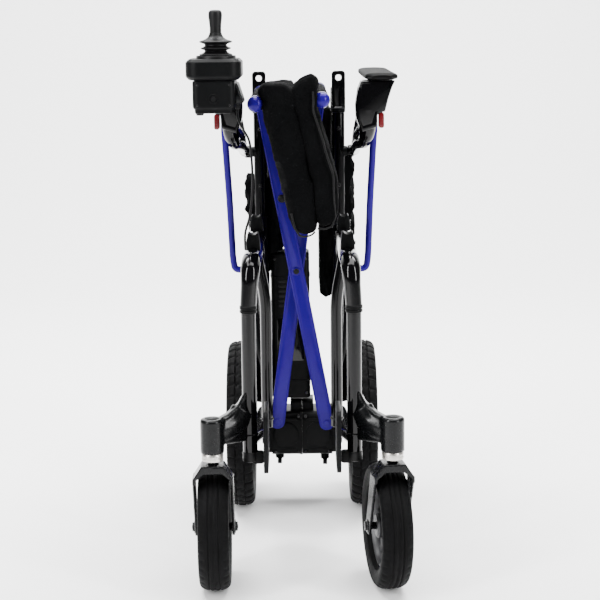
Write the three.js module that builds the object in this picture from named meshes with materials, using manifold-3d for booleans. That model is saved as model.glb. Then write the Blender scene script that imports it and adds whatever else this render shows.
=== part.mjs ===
// Folding power wheelchair, standing folded on its four wheels. Millimetres, +Z up.
// The sitter faces -Y. The sitter's right side is -X and the left side is +X.
// Both side frames stay parallel; a scissor of two cross members joins them.
import * as THREE from 'three';
import { mergeVertices } from 'three/addons/utils/BufferGeometryUtils.js';
import Module from 'manifold-3d';

const wasm = await Module();
wasm.setup();

// ---------- driving dimensions ----------
const GAP = 0.3; // clearance between touching pieces
const FRAME_SHIFT = new THREE.Vector3(1.5, -298.4, 0); // brings the middle of the outline to the origin

const SIDE = { left: 1, right: -1 };
const WHEELBASE = 450; // front axle is at y 0 before the shift
const CASTER = { radius: 100, width: 49, x: 139, trail: 45, yaw: { left: 8, right: 1 } };
const ARM_SWEEP = 0.72; // the caster arm runs back as it goes in to the column
const DRIVE = { radius: 152.5, width: 47, x: 111.5 };

const PIVOT = { x: 44.3, z: 174 }; // lower hinges of the cross members
const CROSSING = { x: -7.5, z: 451.5 }; // the bolt through both members
const MEMBER = { width: 26.4, depth: 12, length: 601, frontY: 356, rearY: 369.5 };
const RAIL = { radius: 11, capRadius: 12.5, front: 0, back: 381 };

const TOP_RAIL = { x: 75, z: 521, radius: 15 };
const SADDLE_TOP = 558; // the seat rails come down onto the saddles when the chair is open
const COLUMN = { x: 81.5, y: -8, radius: 11.5, bottom: 217, top: 453 };
const LOWER_RAIL = { x: 68, radius: 10, z: 236 };
const INNER_UPRIGHT = { x: 57, y: 118, radius: 7 };
const POST = { x: 70, y: 400, radius: 10.5, bottom: 546, tongue: 750, top: 801 };

const ARM = { front: 60, back: 365, pivotZ: 660 };
const CONTROLLER = { x: -126, top: 834, bottom: 754, front: -62, back: 46 };
const STICK = { x: -122.8, y: -24, z: 836 };
const BUTTONS = [ // name, x, y, radius
  ['power_button', -126, 24, 7],
  ['faster_button', -104, 22, 5],
  ['slower_button', -148, 22, 5],
];

const CANE = { hingeY: 414, hingeZ: 750, length: 262, lean: 20, radius: 10.5 };
const BATTERY = { x: [-54, 16], y: [412, 470], z: [207, 477] };
const MOTOR = { inner: 0.4, outer: 55.5, bottom: 99, top: 181 };

const radians = THREE.MathUtils.degToRad;

// ---------- materials ----------
const paint = (color, roughness, metalness = 0) =>
  new THREE.MeshStandardMaterial({ color, roughness, metalness });
const BLUE = paint(0x1218b8, 0.25, 0.6);
const GLOSS_BLACK = paint(0x0b0c0e, 0.15, 0.3);
const BLACK = paint(0x151818, 0.5);
const RUBBER = paint(0x141414, 0.85);
const FABRIC = paint(0x101114, 0.95);
const PAD = paint(0x191a1c, 0.6);
const SILVER = paint(0xb9b6b0, 0.35, 0.9);
const GREY = paint(0x8a8c8e, 0.5, 0.4);
const RED = paint(0x6e0d14, 0.35);

// ---------- solid helpers ----------
const chair = new THREE.Group();

function solid(geometry) {
  const bare = geometry.clone();
  bare.deleteAttribute('normal');
  bare.deleteAttribute('uv');
  const merged = mergeVertices(bare, 1e-4);
  return new wasm.Manifold(new wasm.Mesh({
    numProp: 3,
    vertProperties: new Float32Array(merged.attributes.position.array),
    triVerts: new Uint32Array(merged.index.array),
  }));
}

function geometryOf(body) {
  const mesh = body.getMesh();
  const geometry = new THREE.BufferGeometry();
  geometry.setAttribute('position', new THREE.BufferAttribute(new Float32Array(mesh.vertProperties), 3));
  geometry.setIndex(new THREE.BufferAttribute(new Uint32Array(mesh.triVerts), 1));
  geometry.computeVertexNormals();
  return geometry;
}

function join(...pieces) {
  return geometryOf(pieces.map(solid).reduce((whole, piece) => whole.add(piece)));
}

function cut(base, ...tools) {
  return geometryOf(tools.map(solid).reduce((whole, tool) => whole.subtract(tool), solid(base)));
}

function add(name, geometry, material, parent = chair) {
  const mesh = new THREE.Mesh(geometry, material);
  mesh.name = name;
  parent.add(mesh);
  return mesh;
}

function holder(x, y, z, parent = chair) {
  const group = new THREE.Group();
  group.position.set(x, y, z);
  parent.add(group);
  return group;
}

// ---------- shape helpers ----------
const box = (x0, x1, y0, y1, z0, z1) =>
  new THREE.BoxGeometry(Math.abs(x1 - x0), y1 - y0, z1 - z0)
    .translate((x0 + x1) / 2, (y0 + y1) / 2, (z0 + z1) / 2);

function cylinder(radius, from, to, sides = 16, endRadius = radius) {
  const a = new THREE.Vector3(...from);
  const b = new THREE.Vector3(...to);
  const axis = b.clone().sub(a);
  const turn = new THREE.Quaternion().setFromUnitVectors(
    new THREE.Vector3(0, 1, 0), axis.clone().normalize());
  return new THREE.CylinderGeometry(endRadius, radius, axis.length(), sides)
    .applyQuaternion(turn)
    .translate(...a.add(b).multiplyScalar(0.5));
}

const ball = (radius, x, y, z) => new THREE.SphereGeometry(radius, 12, 8).translate(x, y, z);

// A path of straight runs with a smooth curve of the given reach at each corner.
function bentPath(points, reach) {
  const path = new THREE.CurvePath();
  const corners = points.map((p) => new THREE.Vector3(...p));
  let from = corners[0];
  for (let i = 1; i < corners.length - 1; i += 1) {
    const corner = corners[i];
    const before = corner.clone().sub(corners[i - 1]);
    const after = corners[i + 1].clone().sub(corner);
    const run = Math.min(reach, before.length() * 0.48, after.length() * 0.48);
    const start = corner.clone().addScaledVector(before.normalize(), -run);
    const end = corner.clone().addScaledVector(after.normalize(), run);
    path.add(new THREE.LineCurve3(from, start));
    path.add(new THREE.QuadraticBezierCurve3(start, corner, end));
    from = end;
  }
  path.add(new THREE.LineCurve3(from, corners.at(-1)));
  return path;
}

function tube(points, radius, { reach = 30, steps = 16, sides = 12 } = {}) {
  const section = new THREE.Shape().absarc(0, 0, radius, 0, Math.PI * 2);
  const straight = points.length === 2;
  if (straight) {
    return cylinder(radius, points[0], points[1], sides);
  }
  return new THREE.ExtrudeGeometry(section, {
    extrudePath: bentPath(points, reach), steps, curveSegments: sides / 2,
  });
}

function outline(points) {
  return new THREE.Shape(points.map(([x, y]) => new THREE.Vector2(x, y)));
}

function roundedBox(width, height, radius) {
  const x = width / 2 - radius;
  const y = height / 2 - radius;
  const shape = new THREE.Shape();
  shape.absarc(x, y, radius, 0, Math.PI / 2);
  shape.absarc(-x, y, radius, Math.PI / 2, Math.PI);
  shape.absarc(-x, -y, radius, Math.PI, Math.PI * 1.5);
  shape.absarc(x, -y, radius, Math.PI * 1.5, Math.PI * 2);
  return shape;
}

// A shape drawn in X and Z, pushed from one depth to another along +Y.
function slabAlongY(shape, near, far, bevel = 0) {
  return new THREE.ExtrudeGeometry(shape, {
    depth: far - near - 2 * bevel, bevelEnabled: bevel > 0, bevelSize: bevel,
    bevelThickness: bevel, bevelOffset: -bevel, bevelSegments: 1, curveSegments: 5,
  }).rotateX(Math.PI / 2).translate(0, far - bevel, 0);
}

// A shape drawn in Y and Z, pushed along X.
function slabAlongX(shape, from, to) {
  return new THREE.ExtrudeGeometry(shape, { depth: to - from, bevelEnabled: false, curveSegments: 4 })
    .applyMatrix4(new THREE.Matrix4().makeBasis(
      new THREE.Vector3(0, 1, 0), new THREE.Vector3(0, 0, 1), new THREE.Vector3(1, 0, 0)))
    .translate(from, 0, 0);
}

// A shape drawn in X and Y, pushed up Z.
function slabUp(shape, low, high, bevel = 0) {
  return new THREE.ExtrudeGeometry(shape, {
    depth: high - low - 2 * bevel, bevelEnabled: bevel > 0, bevelSize: bevel,
    bevelThickness: bevel, bevelOffset: -bevel, bevelSegments: 1, curveSegments: 4,
  }).translate(0, 0, low + bevel);
}

// A solid of revolution about the X axis; the profile is (radius, x).
function turnedAboutX(profile, segments = 24) {
  return new THREE.LatheGeometry(profile.map(([r, x]) => new THREE.Vector2(r, x)), segments)
    .rotateZ(-Math.PI / 2);
}

function turnedUp(profile, segments = 14) {
  return new THREE.LatheGeometry(profile.map(([r, z]) => new THREE.Vector2(r, z)), segments)
    .rotateX(Math.PI / 2);
}

// ---------- side frames ----------
function sideFrame(s) {
  const { x, z, radius } = TOP_RAIL;
  const column = cylinder(COLUMN.radius, [s * COLUMN.x, COLUMN.y, COLUMN.bottom],
    [s * COLUMN.x, COLUMN.y, COLUMN.top]);
  const collar = cylinder(COLUMN.radius + 2, [s * COLUMN.x, COLUMN.y, COLUMN.top - 8],
    [s * COLUMN.x, COLUMN.y, COLUMN.top + 4]);
  const topRail = tube([[s * COLUMN.x, COLUMN.y, COLUMN.top], [s * 77, COLUMN.y + 2, z],
    [s * x, 70, z], [s * x, POST.y, z]], radius, { reach: 48, steps: 14, sides: 12 });
  const lowerRail = tube([[s * COLUMN.x, COLUMN.y, LOWER_RAIL.z + 6], [s * LOWER_RAIL.x, 60, LOWER_RAIL.z],
    [s * LOWER_RAIL.x, 300, 214], [s * LOWER_RAIL.x, WHEELBASE, DRIVE.radius]],
  LOWER_RAIL.radius, { reach: 40, steps: 12, sides: 8 });
  const upright = tube([[s * INNER_UPRIGHT.x, INNER_UPRIGHT.y, LOWER_RAIL.z - 4],
    [s * INNER_UPRIGHT.x, INNER_UPRIGHT.y, 446],
    [s * (x - 4), INNER_UPRIGHT.y, z - 4]], INNER_UPRIGHT.radius, { reach: 26, steps: 8, sides: 8 });
  const rearUpright = cylinder(POST.radius + 4, [s * POST.x, POST.y, 206],
    [s * POST.x, POST.y, POST.bottom - GAP], 20);
  const lugFront = (s > 0 ? MEMBER.frontY : MEMBER.rearY) + MEMBER.depth + GAP;
  const lug = box(s * (PIVOT.x - 9), s * LOWER_RAIL.x, lugFront, lugFront + 13, PIVOT.z - 9, PIVOT.z + 9);
  const saddles = [70, 300].map((y) => slabAlongY(outline([[s * (x - 12), z], [s * (x + 12), z],
    [s * (x + 9), SADDLE_TOP], [s * (x - 9), SADDLE_TOP]]), y, y + 30));
  const axleBore = cylinder(8 + GAP, [s * 50, WHEELBASE, DRIVE.radius], [s * 90, WHEELBASE, DRIVE.radius]);
  const axlePlate = slabAlongX(outline([[418, 128], [418, 176], [440, 196], [462, 196], [482, 176],
    [482, 128], [468, 116], [432, 116]]), s > 0 ? 62.5 : -74, s > 0 ? 74 : -62.5);
  const toe = box(s * 61.3, s * (COLUMN.x - 2), COLUMN.y - 8, COLUMN.y + 8, COLUMN.bottom - 11,
    COLUMN.bottom + 8);
  const postSocket = cylinder(8.5, [s * x, 120, z - 28], [s * (x + 14.2), 120, z - 28], 12);
  const web = box(s * (x - 4), s * (x + 4), 112, 128, z - 38, z);
  return cut(join(column, collar, topRail, lowerRail, upright, rearUpright, lug, ...saddles,
    axlePlate, toe, web, postSocket), axleBore);
}

function backPost(s) {
  const stem = cylinder(POST.radius, [s * POST.x, POST.y, POST.bottom], [s * POST.x, POST.y,
    POST.tongue - 12]);
  const tongue = slabAlongY(roundedBox(24, POST.top - POST.tongue + 22, 5), -3, 3)
    .translate(s * POST.x, POST.y, (POST.top + POST.tongue - 22) / 2);
  const lockHole = cylinder(5.2, [s * POST.x, POST.y - 10, 789], [s * POST.x, POST.y + 10, 789], 16);
  const knuckle = box(s * (POST.x - 5), s * (POST.x + 5), POST.y, CANE.hingeY + 6, CANE.hingeZ - 7,
    CANE.hingeZ + 7);
  const pivotLug = cylinder(9, [s * (POST.x + 6), POST.y, ARM.pivotZ], [s * (POST.x + 15), POST.y,
    ARM.pivotZ], 12);
  return cut(join(stem, tongue, knuckle, pivotLug), lockHole);
}

// ---------- casters ----------

function casterHousing(s) {
  const y = -CASTER.trail;
  const barrel = cylinder(18.4, [s * CASTER.x, y, 234], [s * CASTER.x, y, 284]);
  const cap = cylinder(18.4, [s * CASTER.x, y, 284], [s * CASTER.x, y, 288], 24, 15);
  const arm = slabAlongY(outline([[s * 136, 246], [s * 136, 284], [s * 116, 292], [s * 100, 304],
    [s * 90, 322],
    [s * 84, 322], [s * 84, 244], [s * 104, 244]]), -13, 13, 3)
    .applyMatrix4(new THREE.Matrix4().makeShear(-s * ARM_SWEEP, 0, 0, 0, 0, 0))
    .translate(0, y + CASTER.x * ARM_SWEEP, 0);
  const room = cylinder(COLUMN.radius + 3 * GAP, [s * COLUMN.x, COLUMN.y, 200], [s * COLUMN.x,
    COLUMN.y, 400]);
  const lowerRoom = tube([[s * COLUMN.x, COLUMN.y, LOWER_RAIL.z + 6], [s * LOWER_RAIL.x, 60, LOWER_RAIL.z]],
    LOWER_RAIL.radius + 3 * GAP);
  const inside = box(s * 40, s * (COLUMN.x + 1), -60, 60, 200, 400);
  return cut(join(barrel, cap, arm), room, lowerRoom, inside);
}

function casterFork() {
  const shoulder = outline([[-17.5, 216], [17.5, 216], [31.6, 194], [31.6, 186], [27.2, 186],
    [27.2, 192], [15, 203], [-15, 203], [-27.2, 192], [-27.2, 186], [-31.6, 186], [-31.6, 194]]);
  const crown = slabAlongY(shoulder, -CASTER.trail - 19, -CASTER.trail + 19);
  const cheek = outline([[-CASTER.trail - 19, 196], [-CASTER.trail + 19, 196], [13, 106], [13, 94],
    [6, 87], [-7, 87], [-13, 95]]);
  const stem = cylinder(7.5, [0, -CASTER.trail, 210], [0, -CASTER.trail, 220.5], 12);
  const axle = cylinder(6, [-34, 0, CASTER.radius], [34, 0, CASTER.radius], 12);
  const nuts = [-1, 1].map((side) => cylinder(8, [side * 31, 0, CASTER.radius], [side * 36, 0,
    CASTER.radius], 6));
  return join(crown, slabAlongX(cheek, -31.6, -27.2), slabAlongX(cheek, 27.2, 31.6), stem, axle, ...nuts);
}

function tyreProfile(radius, width, bead) {
  const half = width / 2;
  return [[bead, -half * 0.62], [bead + 5, -half * 0.8], [radius - half * 0.8, -half],
    [radius - half * 0.2, -half * 0.76], [radius, -half * 0.3], [radius, half * 0.3],
    [radius - half * 0.2, half * 0.76], [radius - half * 0.8, half], [bead + 5, half * 0.8],
    [bead, half * 0.62], [bead, -half * 0.62]];
}

function rimProfile(bead, width, hub, bore) {
  const half = width / 2;
  const edge = bead - 4 * GAP;
  return [[bore, -half * 0.75], [hub, -half * 0.75], [hub + 4, -5], [edge - 9, -5], [edge, -half * 0.6],
    [edge, half * 0.6], [edge - 9, 5], [hub + 4, 5], [hub, half * 0.75], [bore, half * 0.75],
    [bore, -half * 0.75]];
}

function wheel(names, radius, width, bead, hub, bore, parent) {
  add(names[0], turnedAboutX(tyreProfile(radius, width, bead)), RUBBER, parent);
  add(names[1], turnedAboutX(rimProfile(bead, width, hub, bore), 20), GREY, parent);
}

// ---------- drive ----------
function driveMotor(s) {
  const shell = slabAlongX(roundedBox(84, MOTOR.top - MOTOR.bottom, 16), MOTOR.inner, MOTOR.outer)
    .translate(0, WHEELBASE, (MOTOR.top + MOTOR.bottom) / 2);
  const hump = slabAlongX(roundedBox(46, 34, 8), MOTOR.inner, 21).translate(0, WHEELBASE, 184);
  const shaft = cylinder(8, [MOTOR.outer - 4, WHEELBASE, DRIVE.radius], [131, WHEELBASE, DRIVE.radius]);
  const neck = cylinder(9, [42, WHEELBASE - 4, 98.2], [42, WHEELBASE - 4, 104]);
  const whole = join(shell, hump, shaft, neck);
  if (s > 0) {
    return whole;
  }
  return whole.applyMatrix4(new THREE.Matrix4().makeRotationZ(Math.PI))
    .translate(0, 2 * WHEELBASE, 0);
}

// ---------- armrests ----------
function armrestShell(s) {
  const head = slabAlongY(outline([[s * 97, 796], [s * 150, 796], [s * 145, 786], [s * 139, 768],
    [s * 134, 748],
    [s * 124, 744], [s * 122, 724], [s * 97, 716], [s * 89, 738], [s * 88, 758], [s * 92, 784]]),
      ARM.front, 104, 2);
  const spine = slabAlongY(outline([[s * 108, 796], [s * 141, 796], [s * 136, 776], [s * 114,
    776]]), 100, ARM.back);
  const pivotArm = tube([[s * (POST.x + 16), POST.y, ARM.pivotZ], [s * 99, POST.y, ARM.pivotZ],
    [s * 103, POST.y - 6, 700], [s * 120, 318, 782], [s * 124, 250, 785]], 8, { reach: 22,
      steps: 18, sides: 8 });
  const brace = tube([[s * 99, POST.y - 4, 674], [s * 96, 240, 700], [s * 104, 84, 730]], 7,
    { reach: 60, steps: 9, sides: 8 });
  const boss = cylinder(11, [s * (POST.x + 15.4), POST.y, ARM.pivotZ], [s * (POST.x + 26), POST.y,
    ARM.pivotZ], 20);
  const latchRoom = box(s * 119.5, s * 140, ARM.front + 2, 92, 721, 747.5);
  return cut(join(head, spine, pivotArm, brace, boss), latchRoom);
}

function armrestPad(s) {
  const shape = outline([[s * 95, 797], [s * 154, 797], [s * 153, 803], [s * 146, 807], [s * 103,
    807], [s * 96, 803]]);
  return slabAlongY(shape, ARM.front - 4, ARM.back + 4, 2);
}

function armPost(s) {
  return tube([[s * 118, 98, 715], [s * 112, 112, 600], [s * 109, 120, 512],
    [s * 106, 120, TOP_RAIL.z - 28], [s * 90.2, 120, TOP_RAIL.z - 28]], 5.4, { reach: 26,
      steps: 18, sides: 8 });
}

// ---------- controller ----------
function controllerHousing() {
  const { x, top, front, back } = CONTROLLER;
  const middle = (front + back) / 2;
  const upper = slabUp(roundedBox(83, back - front, 20), 803, top, 5).translate(x, middle, 0);
  const dish = cylinder(30, [STICK.x, STICK.y, 829], [STICK.x, STICK.y, top + 2], 24);
  const wells = BUTTONS.map(([, bx, by, r]) => cylinder(r + GAP, [bx, by, top - 5], [bx, by, top + 2], 18));
  return cut(upper, dish, ...wells);
}

function controllerBase() {
  const { x, bottom, front, back } = CONTROLLER;
  const middle = (front + back) / 2;
  const lower = slabUp(roundedBox(63, back - front - 8, 9), bottom + 7, 803 - GAP, 2).translate(x,
    middle, 0);
  const plate = slabUp(roundedBox(57, back - front - 14, 6), bottom, bottom + 8, 1).translate(x, middle, 0);
  const foot = cylinder(5.5, [-147, front + 16, bottom - 3], [-147, front + 16, bottom + 3], 14);
  const bracket = slabAlongY(outline([[-96, 798], [-91, 797], [-82, 769], [-96, 766]]), -40, 34, 1.5);
  const gland = cylinder(4.5, [-92, -8, 758], [-92, -8, 766], 14);
  const clampRod = box(-126, -112, back - 6, ARM.front - GAP, 766, 788);
  return join(lower, plate, foot, bracket, gland, clampRod, box(-98, -88, -16, 0, 762, 772));
}

function joystickBoot() {
  return turnedUp([[0, 2], [25, 3], [14, 9.5], [22, 13], [14, 17.5], [25, 22.5], [14, 26], [8.6,
    36], [0, 36]]);
}

function joystickKnob() {
  return turnedUp([[0, 36.4], [8.6, 36.4], [9, 42], [10, 54], [10.4, 62], [9.4, 67], [6, 69.2], [0, 69.6]]);
}

// ---------- scissor, rails and upholstery ----------
const LEAN = {
  front: Math.atan2(PIVOT.x - CROSSING.x, CROSSING.z - PIVOT.z),
  rear: Math.atan2(CROSSING.x + PIVOT.x, CROSSING.z - PIVOT.z),
};

// A member stands on its lower hinge; local +Z runs up the beam. It carries its seat rail.
function crossMember(near, boreAt) {
  const half = MEMBER.width / 2;
  const shape = new THREE.Shape();
  shape.absarc(0, 0, half, Math.PI, Math.PI * 2);
  shape.lineTo(half, MEMBER.length - RAIL.radius - GAP);
  shape.lineTo(-half, MEMBER.length - RAIL.radius - GAP);
  const beam = slabAlongY(shape, near, near + MEMBER.depth, 2);
  const bore = cylinder(5.3, [0, near - 1, boreAt], [0, near + MEMBER.depth + 1, boreAt], 12);
  return cut(beam, bore);
}

function seatRail() {
  const bar = cylinder(RAIL.radius, [0, RAIL.front, MEMBER.length], [0, RAIL.back, MEMBER.length]);
  const nose = ball(RAIL.capRadius, 0, RAIL.front - 2, MEMBER.length);
  const tail = cylinder(RAIL.capRadius, [0, RAIL.back, MEMBER.length], [0, RAIL.back + 6, MEMBER.length]);
  return join(bar, nose, tail);
}

// Half a seat cushion in section: it hangs from the rail and leans beside the other half.
// Behind the armrest's front it is lower on the rail, so that it passes the armrest as the chair opens.
function seatPad(points, lowTop) {
  const whole = slabAlongY(outline(points), -22, 350, 5);
  return cut(whole, box(-90, 60, ARM.front - 5, 360, lowTop, 830));
}

// Half a back sling: a padded panel folded back from its post.
function backPanel(s) {
  return box(s * 40, s * 53.5, POST.y + 3, POST.y + 200, s > 0 ? 400 : BATTERY.z[1] + 5, 690);
}

function pivotBolt() {
  const shank = cylinder(5, [0, MEMBER.frontY - 3, 0], [0, MEMBER.rearY + MEMBER.depth + 3, 0], 12);
  const head = cylinder(8, [0, MEMBER.frontY - 6, 0], [0, MEMBER.frontY - GAP, 0], 12);
  const nut = cylinder(8.5, [0, MEMBER.rearY + MEMBER.depth + GAP, 0], [0,
    MEMBER.rearY + MEMBER.depth + 7, 0], 6);
  return join(shank, head, nut);
}

// ---------- assembly: what comes in pairs ----------
for (const [name, s] of Object.entries(SIDE)) {
  add(`${name}_side_frame`, sideFrame(s), GLOSS_BLACK);
  add(`${name}_back_post`, backPost(s), GLOSS_BLACK);
  add(`${name}_caster_housing`, casterHousing(s), BLACK);
  add(`${name}_bearing_cup`, cut(
    cylinder(16.8, [s * CASTER.x, -CASTER.trail, 221], [s * CASTER.x, -CASTER.trail, 234 - GAP]),
    cylinder(9, [s * CASTER.x, -CASTER.trail, 219], [s * CASTER.x, -CASTER.trail, 236], 18)), SILVER);

  const caster = holder(s * CASTER.x, -CASTER.trail, 0);
  caster.rotation.z = radians(CASTER.yaw[name]);
  const trailing = holder(0, CASTER.trail, 0, caster);
  add(`${name}_caster_fork`, casterFork(), BLACK, trailing);
  const casterWheel = holder(0, 0, CASTER.radius, trailing);
  wheel([`${name}_caster_tyre`, `${name}_caster_rim`], CASTER.radius, CASTER.width, 66, 20, 6.4,
    casterWheel);

  const driveWheel = holder(s * DRIVE.x, WHEELBASE, DRIVE.radius);
  wheel([`${name}_drive_tyre`, `${name}_drive_rim`], DRIVE.radius, DRIVE.width, 112, 34, 8.4, driveWheel);
  add(`${name}_drive_motor`, driveMotor(s), BLACK);
  add(`${name}_freewheel_lever`, join(
    cylinder(8, [s * 42, WHEELBASE - 4 * s, 84], [s * 42, WHEELBASE - 4 * s, 97.8], 12),
    box(s * 42 - 4, s * 42 + 4, WHEELBASE - 4 * s - 22, WHEELBASE - 4 * s, 78, 86)), BLACK);

  add(`${name}_armrest_shell`, armrestShell(s), GLOSS_BLACK);
  add(`${name}_armrest_pad`, armrestPad(s), PAD);
  add(`${name}_arm_post`, armPost(s), BLUE);
  add(`${name}_latch_button`, box(s * 124, s * 132.5, ARM.front + 4, 90, 722, 746.5), RED);

  add(`${name}_footplate`, slabAlongX(outline([[-68, 203], [22, 203], [22, 290], [10, 300], [-56,
    300], [-68, 290]]),
    s > 0 ? 52.5 : -59.5, s > 0 ? 59.5 : -52.5), BLACK);
  add(`${name}_back_panel`, backPanel(s), FABRIC);

  const cane = holder(s * POST.x, CANE.hingeY, CANE.hingeZ);
  cane.rotation.x = radians(CANE.lean);
  add(`${name}_back_cane`, join(
    cylinder(CANE.radius, [0, 0, -26], [0, 0, -CANE.length]),
    cut(box(-11, 11, -7.5, 7.5, -32, 7.5), box(-5.4, 5.4, -9, 9, -26, 9))), GLOSS_BLACK, cane);
  add(`${name}_push_grip`, cylinder(14.5, [0, -11, -CANE.length + 14], [0, -78,
    -CANE.length + 14]), RUBBER, cane);
  add(`${name}_upper_back`, box(-7, 7, 25, 217, -232, -58), FABRIC, cane);
}

// ---------- assembly: single pieces ----------
const frontMember = holder(PIVOT.x, 0, PIVOT.z);
frontMember.rotation.y = -LEAN.front;
const rearMember = holder(-PIVOT.x, 0, PIVOT.z);
rearMember.rotation.y = LEAN.rear;
const reach = (from) => Math.hypot(CROSSING.x - from, CROSSING.z - PIVOT.z);
add('front_cross_member', crossMember(MEMBER.frontY, reach(PIVOT.x)), BLUE, frontMember);
add('rear_cross_member', crossMember(MEMBER.rearY, reach(-PIVOT.x)), BLUE, rearMember);
add('right_seat_rail', seatRail(), BLUE, frontMember);
add('left_seat_rail', seatRail(), BLUE, rearMember);
add('pivot_bolt', pivotBolt(), BLACK, holder(CROSSING.x, 0, CROSSING.z));

add('right_seat_pad', seatPad([[-60, 797], [-22, 796], [-13.5, 786], [17, 640], [22, 572], [16,
  566], [2, 564],
  [-6, 572], [-13, 600], [-50.5, 754], [-50.5, 776], [-62, 784]], 788), FABRIC);
add('left_seat_pad', seatPad([[-9, 790], [4, 804], [20, 812], [27, 806], [21, 783], [21, 757],
  [38, 700], [51, 656], [53, 596], [50, 582], [41, 576], [27, 577], [22.5, 640], [-7, 778]], 791), FABRIC);

add('battery_case', slabUp(roundedBox(BATTERY.x[1] - BATTERY.x[0], BATTERY.y[1] - BATTERY.y[0], 8),
  BATTERY.z[0], BATTERY.z[1], 3)
  .translate((BATTERY.x[0] + BATTERY.x[1]) / 2, (BATTERY.y[0] + BATTERY.y[1]) / 2, 0), BLACK);

add('controller_housing', controllerHousing(), BLACK);
add('controller_base', controllerBase(), BLACK);
const stick = holder(STICK.x, STICK.y, STICK.z);
add('joystick_gimbal', cylinder(7, [0, 0, -4.4], [0, 0, -0.6], 12), GREY, stick);
add('joystick_boot', joystickBoot(), RUBBER, stick);
add('joystick_knob', joystickKnob(), RUBBER, stick);
for (const [name, x, y, radius] of BUTTONS) {
  add(name, cylinder(radius, [x, y, CONTROLLER.top - 3], [x, y, CONTROLLER.top + 2], 12), BLACK);
}

const CABLE_ROUTE = [[-92, -8, 757.5], [-92, -10, 744], [-84, -21, 728], [-74, -30, 706], [-71, -33, 650],
  [-75, -33, 604], [-83, -31, 574], [-84, -23, 554], [-84, -12, 545]];
add('controller_cable', new THREE.ExtrudeGeometry(new THREE.Shape().absarc(0, 0, 1.9, 0, Math.PI * 2), {
  extrudePath: new THREE.CatmullRomCurve3(CABLE_ROUTE.map((p) => new THREE.Vector3(...p))),
  steps: 22, curveSegments: 4,
}), RUBBER);

chair.children.forEach((piece) => piece.position.add(FRAME_SHIFT));

export default chair;
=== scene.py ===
from math import atan2, copysign, cos, hypot, pi, radians, sin

import bmesh
import bpy
from mathutils import Matrix, Vector, noise


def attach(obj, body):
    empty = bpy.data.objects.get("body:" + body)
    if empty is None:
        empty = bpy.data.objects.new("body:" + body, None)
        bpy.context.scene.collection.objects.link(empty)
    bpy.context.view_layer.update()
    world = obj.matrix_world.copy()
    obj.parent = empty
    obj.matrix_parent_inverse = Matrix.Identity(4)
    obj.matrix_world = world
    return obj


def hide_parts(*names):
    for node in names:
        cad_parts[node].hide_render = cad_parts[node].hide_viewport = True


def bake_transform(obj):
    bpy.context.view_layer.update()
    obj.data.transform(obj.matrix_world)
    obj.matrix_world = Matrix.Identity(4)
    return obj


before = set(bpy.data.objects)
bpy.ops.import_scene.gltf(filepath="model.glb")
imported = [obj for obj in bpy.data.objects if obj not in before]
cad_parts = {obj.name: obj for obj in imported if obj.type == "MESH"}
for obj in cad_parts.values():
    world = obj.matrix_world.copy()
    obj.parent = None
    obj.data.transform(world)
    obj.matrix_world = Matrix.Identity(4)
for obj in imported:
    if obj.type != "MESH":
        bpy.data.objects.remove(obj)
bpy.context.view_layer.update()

# ---------- frame and driving sizes, in the part's own millimetres ----------
MM = 0.001
SHIFT = Vector((1.5, -298.4, 0.0))
SIDES = {"left": 1, "right": -1}
UP = Vector((0, 0, 1))
FORWARD = (0, -1, 0)

WHEELBASE = 450
CASTER = {"radius": 100, "width": 49, "x": 139, "trail": 45, "bead": 66}
CASTER_YAW = {"left": radians(8), "right": radians(1)}
DRIVE = {"radius": 152.5, "width": 47, "x": 111.5, "bead": 112}
PIVOT = (44.3, 174)
CROSSING = (-7.5, 451.5)
MEMBER = {"width": 26.4, "length": 601, "front": 356, "rear": 369.5, "depth": 12}
COLUMN = {"x": 81.5, "y": -8, "radius": 11.5, "bottom": 217, "top": 453}
TOP_RAIL = {"x": 75, "z": 521, "radius": 15}
LOWER_RAIL = {"x": 68, "z": 236, "radius": 10}
INNER_UPRIGHT = {"x": 57, "y": 118, "radius": 7}
POST = {"x": 70, "y": 400, "bottom": 546, "tongue": 750, "top": 801}
ARM = {"front": 60, "back": 365, "pivot": 660}
STICK = (-122.8, -24, 836)
CANE = {"y": 414, "z": 750, "lean": radians(20)}


# ---------- materials ----------
def add_node(nodes, kind, **inputs):
    node = nodes.new("ShaderNode" + kind)
    for socket, value in inputs.items():
        node.inputs[socket.replace("_", " ")].default_value = value
    return node


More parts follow.
